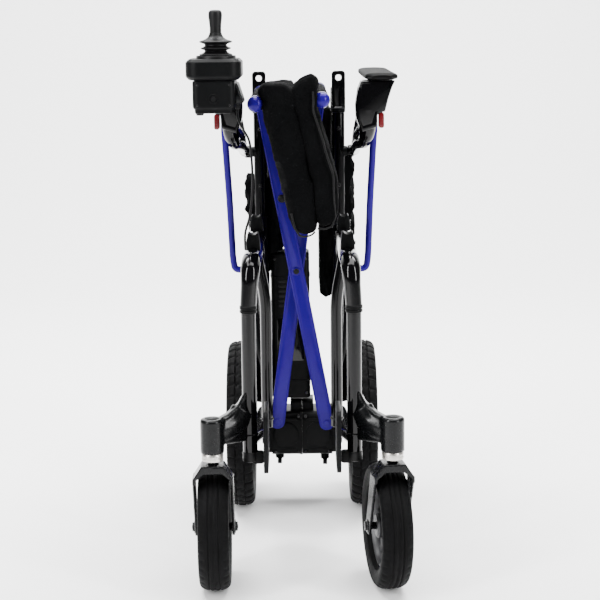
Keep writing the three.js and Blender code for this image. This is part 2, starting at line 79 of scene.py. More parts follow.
def surface(name, color, rough, metallic=0.0, coat=0.0, sheen=0.0, mottle=(14, 0.25), rough_spread=0.1,
            grain=None, weave=None, flakes=0.0, specular=0.5):
    """A procedural material: mottled colour and roughness, with fine grain, a weave or metal flakes."""
    material = bpy.data.materials.new(name)
    material.use_nodes = True
    nodes, links = material.node_tree.nodes, material.node_tree.links
    shader = nodes["Principled BSDF"]
    for socket, value in (("Metallic", metallic), ("Coat Weight", coat), ("Coat Roughness", 0.04),
                          ("Sheen Weight", sheen), ("Sheen Roughness", 0.4), ("Specular IOR Level", specular)):
        shader.inputs[socket].default_value = value
    place = add_node(nodes, "TexCoord").outputs["Object"]

    def texture(kind, **inputs):
        node = add_node(nodes, kind, **inputs)
        links.new(place, node.inputs["Vector"])
        return node

    tint = add_node(nodes, "ValToRGB")
    for stop, position, share in zip(tint.color_ramp.elements, (0.3, 0.72), (1 - mottle[1], 1 + mottle[1])):
        stop.position = position
        stop.color = [min(1, c * share) for c in color] + [1]
    links.new(texture("TexNoise", Scale=mottle[0], Detail=6).outputs["Fac"], tint.inputs["Fac"])
    base = tint.outputs["Color"]
    if flakes:
        lift = add_node(nodes, "Mix")
        lift.data_type = "RGBA"
        lift.blend_type = "SOFT_LIGHT"
        lift.inputs["Factor"].default_value = flakes
        links.new(base, lift.inputs["A"])
        links.new(texture("TexVoronoi", Scale=2400).outputs["Color"], lift.inputs["B"])
        base = lift.outputs["Result"]
    links.new(base, shader.inputs["Base Color"])
    spread = add_node(nodes, "MapRange", To_Min=max(0.02, rough - rough_spread),
                      To_Max=min(1, rough + rough_spread))
    links.new(texture("TexNoise", Scale=mottle[0] * 6, Detail=8).outputs["Fac"], spread.inputs["Value"])
    links.new(spread.outputs["Result"], shader.inputs["Roughness"])
    if weave:
        height = weave_height(nodes, links, texture, weave[0])
    elif grain:
        height = texture("TexNoise", Scale=grain[0], Detail=3).outputs["Fac"]
    else:
        return material
    strength, distance = (weave or grain)[1:]
    bump = add_node(nodes, "Bump", Strength=strength, Distance=distance)
    links.new(height, bump.inputs["Height"])
    links.new(bump.outputs["Normal"], shader.inputs["Normal"])
    return material


def weave_height(nodes, links, texture, scale):
    """Threads that cross: bands along each axis, multiplied in pairs and added."""
    bands = []
    for direction in ("X", "Y", "Z"):
        wave = texture("TexWave", Scale=scale, Distortion=0.6, Detail=1)
        wave.wave_type = "BANDS"
        wave.bands_direction = direction
        bands.append(wave.outputs["Fac"])

    def combined(operation, a, b):
        node = add_node(nodes, "Math")
        node.operation = operation
        links.new(a, node.inputs[0])
        links.new(b, node.inputs[1])
        return node.outputs[0]

    crossings = [combined("MULTIPLY", bands[a], bands[b]) for a, b in ((0, 2), (1, 2), (0, 1))]
    return combined("ADD", combined("ADD", crossings[0], crossings[1]), crossings[2])


BLACK, SATIN = "frame_black", "satin_black"
FINISH = {
    BLACK: surface("piano_black", (0.0012, 0.0012, 0.0015), 0.11, coat=0.16, mottle=(9, 0.3),
                   rough_spread=0.04, grain=(260, 0.03, 0.0006), specular=0.14),
    SATIN: surface("moulded_black", (0.0022, 0.0024, 0.0026), 0.42, mottle=(20, 0.3),
                   grain=(1900, 0.22, 0.0004), specular=0.07),
    "fork_black": surface("satin_cast", (0.0024, 0.0026, 0.0029), 0.26, coat=0.06, mottle=(18, 0.3),
                          grain=(900, 0.12, 0.0004), specular=0.14),
    "blue": surface("blue_paint", (0.0110, 0.0001, 0.120), 0.24, 0.12, coat=0.08, mottle=(8, 0.14),
                    rough_spread=0.06, flakes=0.2, grain=(1600, 0.03, 0.0003), specular=0.08),
    "silver": surface("brushed_ring", (0.50, 0.48, 0.45), 0.34, 0.9, mottle=(40, 0.2),
                      grain=(700, 0.15, 0.0004)),
    "rim_grey": surface("cast_rim", (0.05, 0.05, 0.052), 0.42, 0.6, mottle=(24, 0.25),
                        grain=(700, 0.15, 0.0004)),
    "tyre": surface("tyre_rubber", (0.0018, 0.0018, 0.0020), 0.60, mottle=(30, 0.45), rough_spread=0.14,
                    grain=(1100, 0.3, 0.0005), specular=0.05),
    "fabric": surface("woven_nylon", (0.0012, 0.0013, 0.0015), 0.9, sheen=0.0, mottle=(26, 0.35),
                      weave=(190, 0.5, 0.0006), specular=0.04),
    "arm_pad": surface("pad_vinyl", (0.0014, 0.0014, 0.0016), 0.62, mottle=(22, 0.25),
                       grain=(950, 0.4, 0.0006), specular=0.05),
    "rubber": surface("soft_rubber", (0.0030, 0.0030, 0.0033), 0.42, mottle=(26, 0.3),
                      grain=(1500, 0.2, 0.0004), specular=0.14),
    "red": surface("red_button", (0.10, 0.002, 0.004), 0.22, coat=0.3, mottle=(40, 0.2), rough_spread=0.06),
    "steel": surface("black_bolt", (0.004, 0.004, 0.0045), 0.32, 0.3, mottle=(60, 0.3),
                     grain=(900, 0.1, 0.0003), specular=0.2),
    "zinc": surface("dark_zinc", (0.02, 0.02, 0.021), 0.3, 0.8, mottle=(80, 0.2)),
    "piping": surface("piping", (0.0022, 0.0022, 0.0025), 0.75, specular=0.15, sheen=0.02,
                      weave=(420, 0.5, 0.0005)),
}


# ---------- mesh helpers ----------
def linked(name, data):
    thing = bpy.data.objects.new(name, data)
    bpy.context.scene.collection.objects.link(thing)
    return thing


def painted(piece, finish):
    """One finish all over a piece."""
    piece.data.materials.clear()
    piece.data.materials.append(FINISH[finish])
    return piece


def new_piece(name, points, faces, finish):
    """A piece from points in millimetres."""
    mesh = bpy.data.meshes.new(name)
    mesh.from_pydata([tuple((p + SHIFT) * MM) for p in points], [], faces)
    mesh.validate()
    tidy_normals(mesh)
    return painted(linked(name, mesh), finish)


def node_copy(node, name):
    return linked(name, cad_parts[node].data.copy())


def tidy_normals(mesh, angle=38):
    work = bmesh.new()
    work.from_mesh(mesh)
    bmesh.ops.recalc_face_normals(work, faces=work.faces)
    limit = radians(angle)
    for edge in work.edges:
        edge.smooth = len(edge.link_faces) == 2 and edge.calc_face_angle(0) < limit
    for face in work.faces:
        face.smooth = True
    work.to_mesh(mesh)
    work.free()


def bake_modifiers(piece):
    view = bpy.context.evaluated_depsgraph_get()
    mesh = bpy.data.meshes.new_from_object(piece.evaluated_get(view))
    piece.modifiers.clear()
    piece.data = mesh
    return piece


def joined(name, pieces):
    """One object from several; each keeps its material."""
    work = bmesh.new()
    slots = []
    for piece in pieces:
        for material in piece.data.materials:
            if material not in slots:
                slots.append(material)
        start = len(work.faces)
        work.from_mesh(piece.data)
        work.faces.ensure_lookup_table()
        own = list(piece.data.materials)
        for face in work.faces[start:]:
            face.material_index = slots.index(own[face.material_index])
    mesh = bpy.data.meshes.new(name)
    work.to_mesh(mesh)
    work.free()
    for material in slots:
        mesh.materials.append(material)
    for piece in pieces:
        bpy.data.objects.remove(piece)
    return linked(name, mesh)


def fit(piece, body, nodes=()):
    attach(piece, body)
    if nodes:
        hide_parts(*nodes)
    return piece


def bevelled(piece, width=1.0, segments=3, angle=32):
    modifier = piece.modifiers.new("bevel", "BEVEL")
    modifier.width = width * MM
    modifier.segments = segments
    modifier.limit_method = "ANGLE"
    modifier.angle_limit = radians(angle)
    modifier.harden_normals = False
    bake_modifiers(piece)
    tidy_normals(piece.data)
    return piece


def refined(node, name, finish, width=1.0, segments=3):
    """A copy of a CAD node with its flat faces merged and its edges rounded."""
    piece = node_copy(node, name)
    work = bmesh.new()
    work.from_mesh(piece.data)
    bmesh.ops.remove_doubles(work, verts=work.verts, dist=0.00002)
    bmesh.ops.dissolve_limit(work, angle_limit=radians(1.5), verts=work.verts, edges=work.edges)
    work.to_mesh(piece.data)
    work.free()
    return bevelled(painted(piece, finish), width, segments)


def rounded_path(corners, reach, per_bend=10, per_run=2):
    """Points in millimetres along straight runs with a curve of the given reach at each corner."""
    corners = [Vector(c) for c in corners]
    points = [corners[0]]
    for before, corner, after in zip(corners, corners[1:], corners[2:]):
        into, out = corner - before, after - corner
        run = min(reach, into.length * 0.48, out.length * 0.48)
        start, end = corner - into.normalized() * run, corner + out.normalized() * run
        last = points[-1].copy()
        points += [last.lerp(start, i / per_run) for i in range(1, per_run + 1)]
        for i in range(1, per_bend + 1):
            t = i / per_bend
            points.append(start.lerp(corner, t).lerp(corner.lerp(end, t), t))
    last = points[-1].copy()
    points += [last.lerp(corners[-1], i / per_run) for i in range(1, per_run + 1)]
    return points


def ring_section(radius, sides=28):
    turns = [2 * pi * i / sides for i in range(sides)]
    return [(radius * cos(t), radius * sin(t)) for t in turns]


def sweep(name, points, section, finish, scales=None, ends=1.5):
    """A closed tube: a section carried along points without twisting, with slightly rounded ends."""
    points = [Vector(p) for p in points]
    tangents = [(b - a).normalized() for a, b in zip(points[:1] + points[:-1], points[1:] + points[-1:])]
    side = UP - tangents[0] * UP.dot(tangents[0])
    if side.length < 0.2:
        side = Vector((1, 0, 0)) - tangents[0] * tangents[0].x
    side.normalize()
    scales = scales or [1.0] * len(points)
    rings = []
    for point, tangent, scale in zip(points, tangents, scales):
        side = (side - tangent * side.dot(tangent)).normalized()
        other = tangent.cross(side)
        rings.append([point + (side * v + other * u) * scale for u, v in section])
    if ends:
        size = max(hypot(*p) for p in section)
        for end, step in ((0, -1), (-1, 1)):
            point, tangent, scale = points[end], tangents[end], scales[end]
            ring = [point + (corner - point) * (1 - ends / size) + tangent * step * ends * 0.6
                    for corner in rings[end]]
            rings.insert(0, ring) if end == 0 else rings.append(ring)
    return skin(name, rings, finish)


def skin(name, rings, finish, looped=False):
    """Rings of points joined one after the other, and capped, or with the last joined to the first."""
    n, count = len(rings[0]), len(rings)
    faces = [(r * n + i, r * n + (i + 1) % n, (r + 1) % count * n + (i + 1) % n, (r + 1) % count * n + i)
             for r in range(count if looped else count - 1) for i in range(n)]
    if not looped:
        faces += [tuple(range(n - 1, -1, -1)), tuple(range((count - 1) * n, count * n))]
    return new_piece(name, [p for ring in rings for p in ring], faces, finish)


def tube(name, corners, radius, finish, reach=30, sides=28, ends=1.5):
    return sweep(name, rounded_path(corners, reach), ring_section(radius, sides), finish, ends=ends)


def square_to(axis):
    """A unit axis and two more square to it."""
    axis = Vector(axis).normalized()
    side = axis.orthogonal().normalized()
    return axis, side, axis.cross(side)


def lathe(name, profile, origin, axis, finish, segments=64, looped=False):
    """A turned piece: profile is (radius, distance along the axis); a looped profile leaves its bore open."""
    axis, side, other = square_to(axis)
    origin = Vector(origin)
    turns = [2 * pi * i / segments for i in range(segments)]
    rings = [[origin + axis * along + (side * cos(t) + other * sin(t)) * max(radius, 0.01)
              for t in turns] for radius, along in profile]
    return skin(name, rings, finish, looped)


def hollow_lathe(name, profile, origin, axis, finish, segments=64):
    return lathe(name, profile, origin, axis, finish, segments, True)


def bolt_head(origin, axis, radius=4.5, height=3.0, finish="steel"):
    """A low domed socket screw."""
    rim = [(0.42, height), (0.42, height - 1.6), (0.46, height - 1.6), (0.5, height + 0.1), (0.8, height * 0.92),
           (1, height * 0.5), (1, 0)]
    profile = [(0, height)] + [(radius * share, along) for share, along in rim] + [(0, 0)]
    return lathe("bolt", profile, origin, axis, finish, 24)


def prism(name, outline, near, far, finish, bevel=1.2, plane="XZ"):
    """An outline pushed from near to far across its plane, with rounded edges."""
    rings = [[Vector((u, w, v) if plane == "XZ" else (w, u, v)) for u, v in outline] for w in (near, far)]
    return bevelled(skin(name, rings, finish), bevel, 3, 28) if bevel else skin(name, rings, finish)


def arc(cx, cy, radius, start, end, steps=8):
    return [(cx + radius * cos(radians(start + (end - start) * i / steps)),
             cy + radius * sin(radians(start + (end - start) * i / steps))) for i in range(steps + 1)]


def rounded_outline(x0, x1, y0, y1, r, steps=5):
    return (arc(x1 - r, y1 - r, r, 0, 90, steps) + arc(x0 + r, y1 - r, r, 90, 180, steps)
            + arc(x0 + r, y0 + r, r, 180, 270, steps) + arc(x1 - r, y0 + r, r, 270, 360, steps))


def drilled(piece, start, end, radius):
    """Cuts a round hole through a piece."""
    a, b = Vector(start), Vector(end)
    tool = lathe("drill", [(radius, 0), (radius, (b - a).length)], a, b - a, BLACK, 32)
    tool.data.materials[0] = piece.data.materials[0]
    modifier = piece.modifiers.new("hole", "BOOLEAN")
    modifier.operation = "DIFFERENCE"
    modifier.solver = "EXACT"
    modifier.object = tool
    bake_modifiers(piece)
    bpy.data.objects.remove(tool)
    tidy_normals(piece.data)
    return piece


def cast_together(piece, voxel, smooth):
    """Overlapping solids in one object become one skin with soft joints."""
    remesh = piece.modifiers.new("remesh", "REMESH")
    remesh.mode = "VOXEL"
    remesh.voxel_size = voxel * MM
    relax = piece.modifiers.new("relax", "SMOOTH")
    relax.iterations = smooth
    relax.factor = 0.6
    bake_modifiers(piece)
    tidy_normals(piece.data, 60)
    return piece


def melted(node, name, finish, voxel, smooth):
    """A copy of a CAD node cast as one soft shape: edges and joints flow into each other."""
    return painted(cast_together(node_copy(node, name), voxel, smooth), finish)


def turned(piece, about, axis, angle):
    """Turns a piece's mesh about an axis through a point given in millimetres."""
    centre = (Vector(about) + SHIFT) * MM
    piece.data.transform(Matrix.Translation(centre) @ Matrix.Rotation(angle, 4, axis)
                         @ Matrix.Translation(-centre))
    return piece


# ---------- side frames ----------
def weld(centre, axis, radius):
    """A bead of weld round a tube."""
    axis, side, other = square_to(axis)
    points = [Vector(centre) + (side * cos(t) + other * sin(t)) * (radius + 0.3)
              + axis * 0.35 * sin(t * 24) for t in (2 * pi * i / 72 for i in range(73))]
    return sweep("weld", points, ring_section(1.4, 8), BLACK, ends=0)


def side_frame(name, s):
    column_x, column_y, top = s * COLUMN["x"], COLUMN["y"], COLUMN["top"]
    rail_x, rail_z, post_y = s * TOP_RAIL["x"], TOP_RAIL["z"], POST["y"]
    low, low_x = LOWER_RAIL["z"], s * LOWER_RAIL["x"]
    up_x, up_y, up_radius = s * INNER_UPRIGHT["x"], INNER_UPRIGHT["y"], INNER_UPRIGHT["radius"] + 2.4
    column, foot = COLUMN["radius"], COLUMN["bottom"]
    axle = (WHEELBASE, DRIVE["radius"])
    rail_path = rounded_path([(column_x, column_y, top), (s * 77, column_y + 2, rail_z), (rail_x, 70, rail_z),
                              (rail_x, post_y, rail_z)], 48, 14)
    swell = [min(1.0, 0.84 + 0.16 * i / 8) for i in range(len(rail_path))]
    collar = [(column, 0), (13.3, 1), (13.5, 2), (13.5, 4.4), (12.3, 5), (12.3, 6.4), (13.5, 7), (13.5, 11),
              (12.6, 12), (column, 12)]
    parts = [
        tube("column", [(column_x, column_y, foot), (column_x, column_y, top)], column, BLACK, sides=36),
        sweep("top_rail", rail_path, ring_section(TOP_RAIL["radius"], 36), BLACK, swell, 2),
        tube("lower_rail", [(column_x, column_y, low + 6), (low_x, 60, low), (low_x, 300, 214), (low_x, *axle)],
             LOWER_RAIL["radius"], BLACK, 40),
        tube("upright", [(up_x, up_y, low - 4), (up_x, up_y, 446), (s * (TOP_RAIL["x"] - 4), up_y, rail_z - 4)],
             up_radius, BLACK, 26),
        lathe("rear_upright", [(13, 0), (14.5, 1.5), (14.5, 338), (13.4, 339.6), (11, 339.6)],
              (s * POST["x"], post_y, 206), UP, BLACK, 36),
        lathe("collar", collar, (column_x, column_y, top - 8), UP, SATIN, 48),
        lathe("foot_plug", [(9, 0), (11.6, 1), (12.4, 4), (12.4, 15), (11.5, 16)], (column_x, column_y, foot - 8),
              UP, "rubber", 36),
    ]
    lug_front = (MEMBER["front"] if s > 0 else MEMBER["rear"]) + MEMBER["depth"] + 0.3
    x0, x1 = sorted((s * (PIVOT[0] - 9), low_x))
    parts.append(prism("lug", rounded_outline(x0, x1, PIVOT[1] - 9, PIVOT[1] + 9, 6), lug_front, lug_front + 13,
                       BLACK))
    half = [(0, 555), (4, 556)] + arc(6, 555, 3, 90, 0, 4) + [(10.5, 545), (12, rail_z)]
    shape = [(rail_x - x, z) for x, z in reversed(half[1:])] + [(rail_x + x, z) for x, z in half]
    for y in (70, 300):
        parts.append(prism("saddle", shape, y, y + 30, SATIN, 1.0))
        parts.append(bolt_head((rail_x + s * 11.2, y + 15, 540), (s, 0, 0), 3.4, 1.6))
    plate = [(418, 128), (418, 176), (440, 196), (462, 196), (482, 176), (482, 128), (468, 116), (432, 116)]
    plate = prism("axle_plate", plate, *sorted((s * 62.5, s * 74)), BLACK, 2.0, "YZ")
    parts.append(drilled(plate, (s * 55, *axle), (s * 85, *axle), 8.4))
    for y, z in ((428, 138), (472, 138), (432, 178), (468, 178)):
        parts.append(bolt_head((s * 74, y, z), (s, 0, 0), 3.6, 1.8))
    x0, x1 = sorted((s * 60, s * (COLUMN["x"] - 2)))
    parts.append(prism("toe", rounded_outline(x0, x1, foot - 11, foot + 8, 5), column_y - 8, column_y + 8,
                       SATIN, 1.6))
    parts.append(prism("web", rounded_outline(rail_x - 4, rail_x + 4, rail_z - 38, rail_z - 4, 2), 112, 128,
                       BLACK, 1))
    parts.append(lathe("post_socket", [(5, 0), (8.5, 0.6), (8.5, 13), (7.4, 14.2), (5.6, 14.2)],
                       (rail_x, 120, rail_z - 28), (s, 0, 0), SATIN, 32))
    for centre, radius in (((rail_x, post_y, 536.2), 14.6), ((up_x, up_y, low + 9.2), up_radius),
                           ((column_x, column_y, low + 17), column)):
        parts.append(weld(centre, UP, radius))
    fit(joined(f"{name}_frame", parts), f"{name}_side", [f"{name}_side_frame"])


def back_post(name, s):
    x, y = s * POST["x"], POST["y"]
    stem = lathe("stem", [(8, 0), (10.5, 1), (10.5, 60), (10.5, 120), (10.5, 160), (10.5, 191), (9.4, 192.4),
                          (5, 192.4)], (x, y, POST["bottom"]), UP, BLACK, 40)
    outline = rounded_outline(x - 12, x + 12, POST["tongue"] - 22, POST["top"], 6, 8)
    tongue = drilled(prism("tongue", outline, y - 3, y + 3, BLACK, 1.2), (x, y - 10, 789),
                     (x, y + 10, 789), 5.2)
    rim = hollow_lathe("eyelet", [(5.2, 0), (6.6, 0), (6.7, 0.5), (6.1, 0.9), (5.2, 0.9)], (x, y - 3, 789),
                       FORWARD, "steel", 32)
    knuckle = prism("knuckle", rounded_outline(y, CANE["y"] + 6, CANE["z"] - 7, CANE["z"] + 7, 5), x - 5, x + 5,
                    SATIN, 1, "YZ")
    lug = lathe("pivot_lug", [(6, 0), (9, 0.4), (9, 8), (8, 9), (3, 9)], (x + s * 6, y, ARM["pivot"]),
                (s, 0, 0), SATIN, 32)
    ring = lathe("post_ring", [(10.5, 0), (12, 0.8), (12, 7), (10.5, 8)], (x, y, 728), UP, SATIN, 40)
    studs = [bolt_head((x, y - 10.2, z), FORWARD, 3.6, 1.6) for z in (600, 700)]
    fit(joined(f"{name}_post", [stem, tongue, rim, knuckle, lug, ring] + studs), f"{name}_side",
        [f"{name}_back_post"])


# ---------- wheels ----------
def tyre(name, centre, wheel, tread, segments):
    """A tyre on the X axis; tread(angle, across) gives how far the surface sinks, in millimetres."""
    radius, bead, half = wheel["radius"], wheel["bead"], wheel["width"] / 2
    outer = []
    for i in range(41):
        t = -pi / 2 + pi * i / 40
        across = copysign(abs(sin(t)) ** 0.78, sin(t)) * half
        drop = radius - (radius - bead) * 0.42 * (1 - abs(cos(t)) ** 0.72)
        outer.append((drop, across))
    wall = [(bead + 7, half * 0.9), (bead + 4.5, half * 0.84), (bead + 3.6, half * 0.74), (bead, half * 0.62)]
    profile = [(r, -a) for r, a in reversed(wall)] + outer + wall
    rings = []
    for r, across in profile:
        rings.append([])
        for k in range(segments):
            angle = 2 * pi * k / segments
            sunk = tread(angle, across / half) if r > bead + 7.5 else 0
            rings[-1].append(Vector(centre) + Vector((across * (1 - sunk / radius), (r - sunk) * cos(angle),
                                                      (r - sunk) * sin(angle))))
    return skin(name, rings, "tyre", True)


def notch(value, start, end, soft):
    return min(1, max(0, (value - start) / soft), max(0, (end - value) / soft))


def caster_tread(angle, across):
    sunk = max(1.5 * notch(across, line - 0.05, line + 0.05, 0.03) for line in (-0.34, 0.0, 0.34))
    if 0.58 < abs(across) < 0.95:
        turn = (angle * 36 / (2 * pi)) % 1
        sunk = max(sunk, 1.1 * notch(turn, 0.3, 0.62, 0.1) * notch(abs(across), 0.58, 0.95, 0.08))
    return sunk


def drive_tread(angle, across):
    blocks = 42
    row = abs(across)
    turn = (angle * blocks / (2 * pi) + (0.5 if across > 0 else 0.0)) % 1
    if row < 0.30:
        return 2.2 * notch((turn + across * 0.9) % 1, 0.04, 0.30, 0.08)
    if row < 0.36:
        return 2.2
    return 2.4 * notch(turn, 0.05, 0.34, 0.08) * min(1.0, max(0.0, (0.98 - row) / 0.12))


def spoked_rim(name, centre, wheel, hub, bore, spokes, lift):
    """Barrel, hub and spokes of a moulded wheel on the X axis; lift is how far the spokes sit outwards."""
    half, edge = wheel["width"] / 2, wheel["bead"] - 1.2
    barrel = [(edge - sunk, half * share) for sunk, share in
              ((0, -0.58), (0, 0.58), (2.4, 0.6), (4.5, 0.5), (6.5, 0.3), (7.5, 0), (6.5, -0.3), (4.5, -0.5),
               (2.4, -0.6))]
    parts = [hollow_lathe("barrel", barrel, centre, (1, 0, 0), "rim_grey", 96)]
    hub_profile = [(r, half * share) for r, share in ((bore, -0.74), (hub - 3, -0.74), (hub, -0.62), (hub, 0.62),
                                                      (hub - 3, 0.74), (bore, 0.74))]
    parts.append(hollow_lathe("hub", hub_profile, centre, (1, 0, 0), "rim_grey"))
    disc = [(hub - 1, lift - 2.2), (edge - 5, lift - 2.2), (edge - 5, lift + 2.2), (hub - 1, lift + 2.2)]
    parts.append(hollow_lathe("web", disc, centre, (1, 0, 0), SATIN, 96))
    wide = (edge - hub) * 0.22
    outline = [(hub - 2, -wide), (edge - 5, -wide * 0.72), (edge - 5, wide * 0.72), (hub - 2, wide)]
    for k in range(spokes):
        for side in (-1, 1):
            near, far = sorted((lift + side * 1.5, lift + side * 5.5))
            spoke = prism("spoke", outline, centre[0] + near, centre[0] + far, "rim_grey", 1.2, "YZ")
            spoke.data.transform(Matrix.Translation(Vector((0, centre[1], centre[2])) * MM))
            parts.append(turned(spoke, centre, "X", 2 * pi * k / spokes))
    return joined(name, parts)


def caster(name, s):
    yaw = CASTER_YAW[name]
    stem = (s * CASTER["x"], -CASTER["trail"], 0)
    hub = (s * CASTER["x"], 0, CASTER["radius"])

    def place(piece):
        return turned(piece, stem, "Z", yaw)

    rubber = tyre(f"{name}_caster_rubber", hub, CASTER, caster_tread, 216)
    fit(place(rubber), f"{name}_caster_wheel", [f"{name}_caster_tyre"])
    rim = spoked_rim(f"{name}_caster_hub", hub, CASTER, 20, 6.4, 6, 0)
    fit(place(rim), f"{name}_caster_wheel", [f"{name}_caster_rim"])
    cast = melted(f"{name}_caster_fork", f"{name}_fork_cast", "fork_black", 1.2, 5)
    ends = []
    for side in (-1, 1):
        seat = ((hub[0] + side * 31.6, hub[1], hub[2]), (side, 0, 0))
        ends += [lathe("washer", [(3, 0), (10.5, 0), (10.8, 0.6), (10.5, 1.2), (3, 1.2)], *seat, "zinc", 36),
                 bevelled(lathe("nut", [(3, 1.1), (8, 1.1), (8, 4.4), (3, 4.4)], *seat, "steel", 6), 0.6, 2),
                 lathe("axle_end", [(0, 4.3), (3.4, 4.3), (3, 5), (0, 5.2)], *seat, "zinc", 24)]
    fit(place(joined(f"{name}_fork_nuts", ends)), f"{name}_caster")
    fit(cast, f"{name}_caster", [f"{name}_caster_fork"])
    cup = [(10.5, 0), (15.4, 0), (16.8, 1.2), (16.8, 4.6), (15.9, 5.3), (15.9, 6.4), (16.8, 7.1), (16.8, 11.2),
           (15.8, 12.6), (10.5, 12.6)]
    cup = hollow_lathe(f"{name}_cup", cup, (stem[0], stem[1], 221), UP, "silver", 72)
    fit(cup, f"{name}_side", [f"{name}_bearing_cup"])
    shell = node_copy(f"{name}_caster_housing", "cad_housing")
    barrel = lathe("barrel", [(0, 0), (18.4, 0), (18.4, 51), (16, 53.6), (0, 54)], (stem[0], stem[1], 234), UP,
                   "fork_black", 56)
    arm_path = rounded_path([(s * 139, -45, 264), (s * 120, -33, 266), (s * 102, -20, 274), (s * 92, -13, 292)],
                            16, 8)
    arm = sweep("arm", arm_path, [(14.5 * u, 21 * v) for u, v in ring_section(1, 32)], "fork_black")
    cast_parts = [painted(part, "fork_black") for part in (shell, barrel, arm)]
    housing = cast_together(joined(f"{name}_housing_cast", cast_parts), 1.3, 6)
    fit(housing, f"{name}_side", [f"{name}_caster_housing"])
    cap = lathe(f"{name}_stem_cap", [(0, 1.4), (9, 1.2), (11.4, 0.4), (11.4, -1), (0, -1)],
                (stem[0], stem[1], 287.6), UP, SATIN, 48)
    fit(cap, f"{name}_side")


def drive(name, s):
    centre = (s * DRIVE["x"], WHEELBASE, DRIVE["radius"])
    fit(tyre(f"{name}_drive_rubber", centre, DRIVE, drive_tread, 360), f"{name}_drive_wheel",
        [f"{name}_drive_tyre"])
    rim = spoked_rim("rim", centre, DRIVE, 34, 8.4, 5, s * 4)
    face = centre[0] + s * 17.4
    cap = hollow_lathe("hub_cap", [(8.6, 0), (22, 0), (22, 2), (19, 4), (10, 5), (8.6, 5)], (face, *centre[1:]),
                       (s, 0, 0), SATIN, 48)
    nuts = [turned(bolt_head((face, centre[1] + 27, centre[2]), (s, 0, 0), 3.6, 3), centre, "X",
                   2 * pi * k / 5) for k in range(5)]
    fit(joined(f"{name}_drive_hub", [rim, cap] + nuts), f"{name}_drive_wheel", [f"{name}_drive_rim"])
    body = refined(f"{name}_drive_motor", "motor", SATIN, 0.8, 3)
    inner, outer = 0.4, 55.5
    extras = [body]
    x0, x1 = sorted((s * (inner + 9), s * (outer - 9)))
    for z in (112, 126, 140, 154, 168):
        for low, high in ((WHEELBASE - 42.9, WHEELBASE - 41.5), (WHEELBASE + 41.5, WHEELBASE + 42.9)):
            extras.append(prism("fin", rounded_outline(x0, x1, z - 2.2, z + 2.2, 2), low, high, SATIN,
                                0.5))
    for x in (inner + 6, outer - 6):
        for z in (106, 174):
            extras.append(bolt_head((s * x, WHEELBASE - 42, z), FORWARD, 3.2, 1.8, "zinc"))
    extras.append(lathe("end_plate", [(0, 1.6), (20, 1.6), (23, 1.2), (24, 0.4), (24, 0)],
                        (s * 30, WHEELBASE - 41.8, 140), FORWARD, SATIN, 48))
    near, far = sorted((s * 55, s * 61.4))
    extras.append(prism("flange", rounded_outline(WHEELBASE - 40, WHEELBASE + 40, 102, 178, 14, 8), near, far,
                        SATIN, 1.4, "YZ"))
    # A thin dark rubber plate closes the slot between the two motors. It is painted shade: it stands in for the
    # dark of the gap and hides the bright bevel edges and the light that would show through the slot.
    if s < 0:
        for reach, low, high in ((41.4, 99.8, 181), (22.2, 172, 200.2)):
            extras.append(prism("slot_shade_plate", rounded_outline(WHEELBASE - reach, WHEELBASE + reach, low, high, 8, 6),
                                -4, 0.34, "rubber", 0.1, "YZ"))
    fit(joined(f"{name}_motor_body", extras), f"{name}_side", [f"{name}_drive_motor"])
    lever = f"{name}_freewheel_lever"
    fit(refined(lever, f"{name}_freewheel_arm", SATIN, 1.4, 3), f"{name}_freewheel", [lever])


# ---------- armrests ----------
def boxy_circle(count, power_u, power_v):
    """A unit circle pushed out towards a square, back to its first point; lower powers are squarer."""
    turns = [2 * pi * k / count for k in range(count + 1)]
    return [(copysign(abs(cos(a)) ** power_u, cos(a)),
             copysign(abs(sin(a)) ** power_v, sin(a))) for a in turns]


